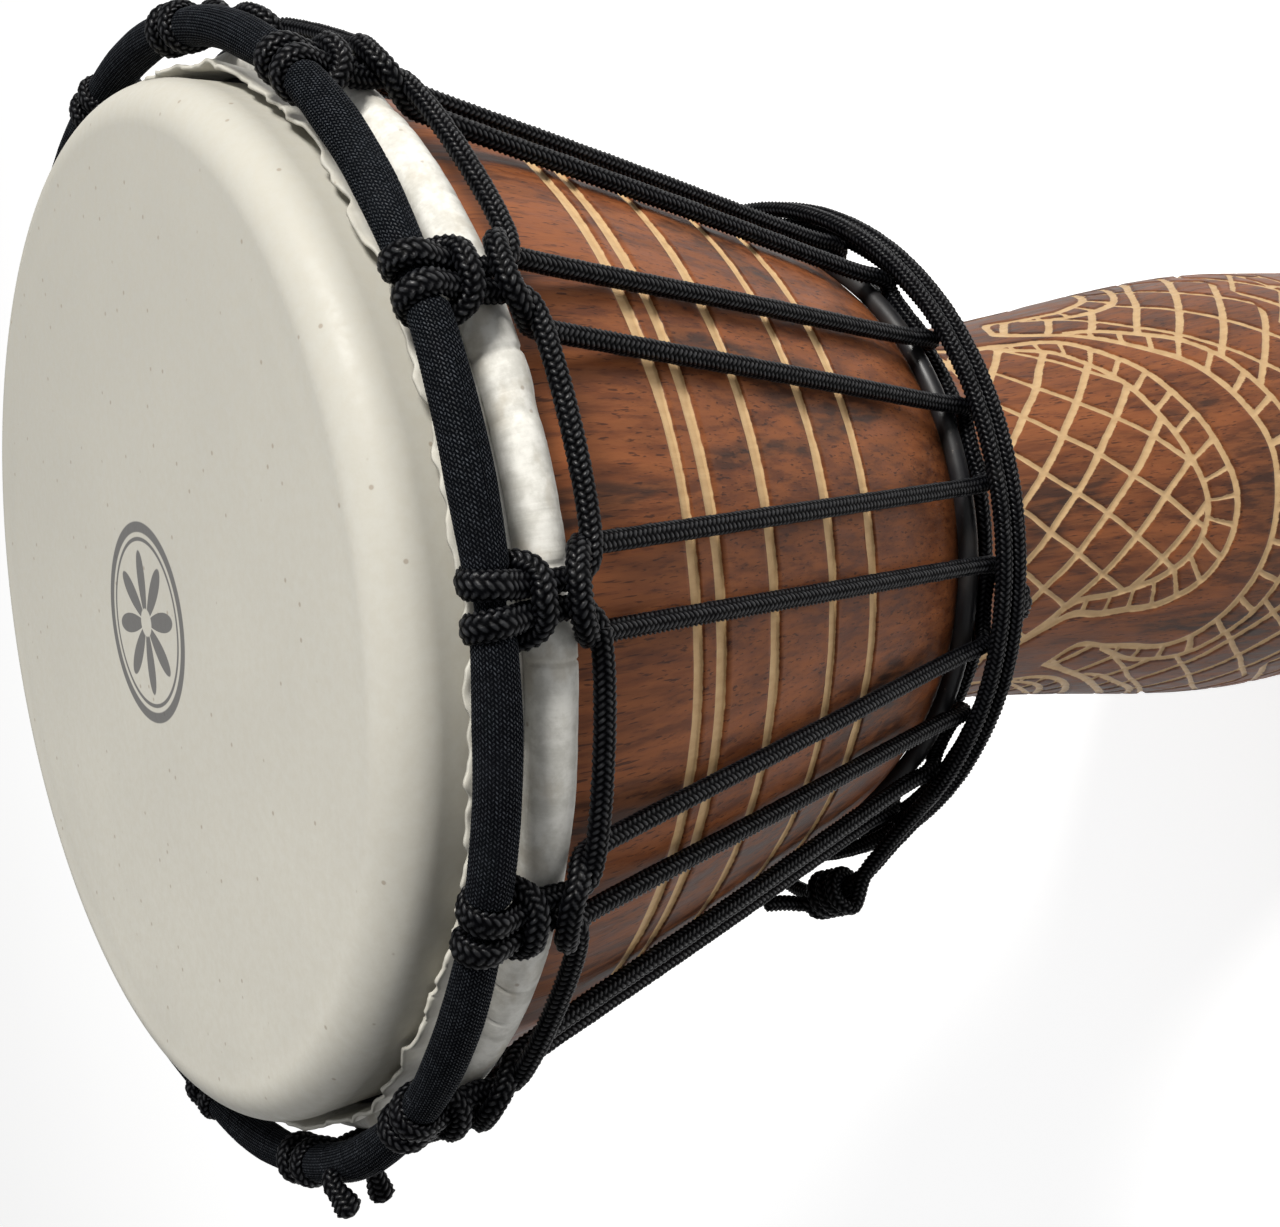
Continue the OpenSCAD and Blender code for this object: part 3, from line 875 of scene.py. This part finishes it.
def skin_line():
    """Middle of the skin from the head's centre to the collar's edge: radius and height points."""
    top = DRUM_H - CROWN_Z - SKIN_T / 2
    centre_r, centre_z = HEAD_R - SKIN_T - EDGE_R, DRUM_H - SKIN_T - EDGE_R - CROWN_Z
    bend = EDGE_R + SKIN_T / 2
    hoop_mid = HOOP_ROD + 0.05 + SKIN_T / 2
    hoop_z = HOOP_Z - CROWN_Z
    face = np.concatenate([[0.6], np.arange(4, 100, 4.0), np.arange(100, centre_r, 1.0)])
    points = [(r, top) for r in face]
    for a in np.radians(np.linspace(90, -8, 22)):
        points.append((centre_r + bend * math.cos(a), centre_z + bend * math.sin(a)))
    start = points[-1]
    for t in np.linspace(0, 1, 10)[1:-1]:
        points.append((start[0] + t * (HOOP_R - hoop_mid - start[0]), start[1] + t * (hoop_z - start[1])))
    for a in np.radians(np.linspace(180, 450, 52)):
        points.append((HOOP_R + hoop_mid * math.cos(a), hoop_z + hoop_mid * math.sin(a)))
    start = points[-1]
    for a, b in ((start, COLLAR_LOW), (COLLAR_LOW, COLLAR_TOP)):
        for t in np.linspace(0, 1, COLLAR_ROWS + 1)[1:]:
            points.append((a[0] + t * (b[0] - a[0]), a[1] + t * (b[1] - a[1])))
    return np.array(points)


HEAD_COLUMNS = 1440  # points round the head


def make_drumhead():
    line = skin_line()
    columns = HEAD_COLUMNS
    turn = np.arange(columns) / columns
    angle = turn * TAU
    tangent = np.gradient(line, axis=0)
    tangent /= np.linalg.norm(tangent, axis=1)[:, None]
    normal = np.stack([-tangent[:, 1], tangent[:, 0]], 1)
    along = np.concatenate([[0], np.cumsum(np.linalg.norm(np.diff(line, axis=0), axis=1))])
    face_end = along[np.argmax(line[:, 0] > FACE_R)]
    hoop_start = along[np.argmax(line[:, 1] < PLEATS_FROM)]
    collar_start = along[-2 * COLLAR_ROWS - 1]
    total = along[-1]
    fold = np.clip((along - hoop_start + 6) / 6, 0, 1)
    collar = np.clip((along - collar_start) / (total - collar_start), 0, 1)[:, None]
    crease = np.clip(1 - np.abs(round_noise(turn, along[:, None] / 40, 90, 80)) / 0.10, 0, 1) ** 2
    crease = crease * (round_noise(turn, along[:, None] / 30, 40, 87) > 0.1)
    pleat = (0.35 * round_noise(turn, along[:, None] / 25, 60, 81)
             + 0.10 * round_noise(turn, along[:, None] / 8, 260, 88))
    push = (0.95 * crease - pleat) * fold[:, None] * 0.7
    push = push * (1 - 0.4 * collar) - collar * (0.9 * round_noise(turn, 0, 60, 82)
                                                  + 0.55 * round_noise(turn, 0, 190, 86))
    ripple = 0.05 * np.sin(along / 1.9)[:, None] * (0.6 + round_noise(turn, along[:, None] / 30, 12, 83))
    push = push + ripple * np.clip((along - 60) / 30, 0, 1)[:, None] * (along < face_end + 12)[:, None]
    dish = -0.35 * np.clip(1 - (along / FACE_R) ** 2, 0, 1)
    stretch = 1 + collar * (0.07 * round_noise(turn, 0, 90, 84) + 0.06 * round_noise(turn, 0, 260, 85) - 0.06)
    base_z = line[-2 * COLLAR_ROWS - 1, 1]
    mid_r = np.repeat(line[:, :1], columns, 1)
    mid_z = base_z + (line[:, 1:] - base_z) * stretch + dish[:, None]
    half = SKIN_T / 2 * np.where(along > total - 1.0, 0.75, 0.96)[:, None]
    sides = []
    for sign in (1, -1):
        off = push + sign * half
        sides.append((mid_r + normal[:, :1] * off, mid_z + normal[:, 1:] * off))
    radius = np.concatenate([sides[0][0], sides[1][0][::-1]])
    height = np.concatenate([sides[0][1], sides[1][1][::-1]])
    verts = np.stack([radius * np.cos(angle), radius * np.sin(angle), height + CROWN_Z], -1)
    hide = fold * (1 - 0.75 * collar[:, 0])
    folds = np.repeat(np.concatenate([hide, hide[::-1]])[:, None], columns, 1)
    rows = len(verts)
    uv = np.stack(np.broadcast_arrays(turn[None, :], np.concatenate([along, along[::-1]])[:, None] / 100), -1)
    quads = grid_quads(rows, columns)
    flat = np.concatenate([verts.reshape(-1, 3), [verts[0].mean(0), verts[-1].mean(0)]])
    tris = end_fans(rows, columns)
    flat_uv = np.concatenate([uv.reshape(-1, 2), [[0, 0], [0, 0]]])
    flat_fold = np.concatenate([folds.ravel(), [0, 0]])
    drumhead = make_piece("drumhead", flat, quads[:, ::-1], SKIN, ["drumhead_skin"], flat_uv,
                          {"fold": flat_fold}, tris[:, ::-1])


# ---------------------------------------------------------------- crown ring's sleeve

SLEEVE_BRAIDS = 42   # stitches each way round the sleeve
SLEEVE_PICK = 0.9    # length of one stitch along the ring
SLEEVE_PINCHED = 2.7  # the sleeve's radius under a hitch
SLEEVE_COLUMNS = 3000  # points along the ring
SLEEVE_AROUND = 126   # points round the sleeve


def from_hitch(angle):
    """Distance along the crown ring from each bearing to the nearest hitch, in millimetres."""
    gap = np.abs(angle[:, None] - np.array(HITCH_A + [TAU])[None, :])
    return gap.min(1) * CROWN_R


def make_sleeve():
    columns, around = SLEEVE_COLUMNS, SLEEVE_AROUND
    turn = np.arange(columns) / columns
    angle = turn * TAU
    tube = np.arange(around) / around
    picks = round(TAU * CROWN_R / SLEEVE_PICK)
    stitch = braid(np.broadcast_to(tube[None, :], (columns, around)) * SLEEVE_BRAIDS / BRAIDS,
                   turn[:, None] * picks * PICK)
    away = from_hitch(angle)
    near = np.clip((7.0 - away) / 3.0, 0, 1)
    near = (near * near * (3 - 2 * near))[:, None]
    slim = np.clip((22 - away) / 15, 0, 1)[:, None]
    lump = 0.30 * round_noise(turn[:, None], tube[None, :] * 2, 46, 90) - 0.40 * slim
    fold = round_noise(turn[:, None] + tube[None, :] * 0.012, 0, 160, 91)
    crease = 0.35 * np.clip(1 - np.abs(fold) / 0.12, 0, 1) * (round_noise(turn, 0, 50, 92) > 0.2)[:, None]
    r = (SLEEVE_R - 0.10 + lump - crease) * (1 - near) + SLEEVE_PINCHED * near + 0.20 * stitch
    a = tube * TAU
    radius = CROWN_R + r * np.cos(a)[None, :]
    verts = np.stack([radius * np.cos(angle)[:, None], radius * np.sin(angle)[:, None],
                      CROWN_Z + r * np.sin(a)[None, :]], -1)
    uv = np.stack(np.broadcast_arrays(turn[:, None], tube[None, :]), -1)
    quads = grid_quads(columns, around, wrap_rows=True)
    make_piece("crown_ring_cloth", verts.reshape(-1, 3), quads, CLOTH, ["crown_ring_sleeve"],
               uv.reshape(-1, 2), {"stitch": stitch.ravel()})


# ---------------------------------------------------------------- build

bpy.context.scene.view_settings.view_transform = "Standard"
make_camera()
WOOD, SKIN, ROPE, CLOTH, STEEL, FLOOR = (
    wood_material(), skin_material(), rope_material(), cloth_material(), ring_material(), floor_material())

make_shell()
make_drumhead()
make_sleeve()
make_cradle()
make_lacing()
make_waist_turns()
make_knots()

# the nodes that no piece replaces are the three steel rings
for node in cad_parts.values():
    node.data.materials.clear()
    node.data.materials.append(STEEL)

FLOOR_HALF = 6  # metres
floor_mesh = bpy.data.meshes.new("floor")
floor_corners = [(FLOOR_HALF * x, FLOOR_HALF * y, 0) for x, y in ((-1, -1), (1, -1), (1, 1), (-1, 1))]
floor_mesh.from_pydata(floor_corners, [], [(0, 1, 2, 3)])
floor_mesh.materials.append(FLOOR)
floor = bpy.data.objects.new("floor", floor_mesh)
bpy.context.scene.collection.objects.link(floor)

world = bpy.data.worlds.new("studio")
bpy.context.scene.world = world
world.use_nodes = True
background = world.node_tree.nodes["Background"].inputs
background["Color"].default_value = (1.0, 1.0, 1.0, 1.0)
background["Strength"].default_value = 0.24

head = Vector((0, 0, CROWN_Z * MM))
area_light("key", head + Vector((0.72, 1.1, 0.8)), head, 0.45, 34.0, (1.0, 0.975, 0.93))
area_light("wash", head + Vector((-0.6, 0.3, 1.5)), head, 1.6, 9.0, (0.97, 0.98, 1.0))
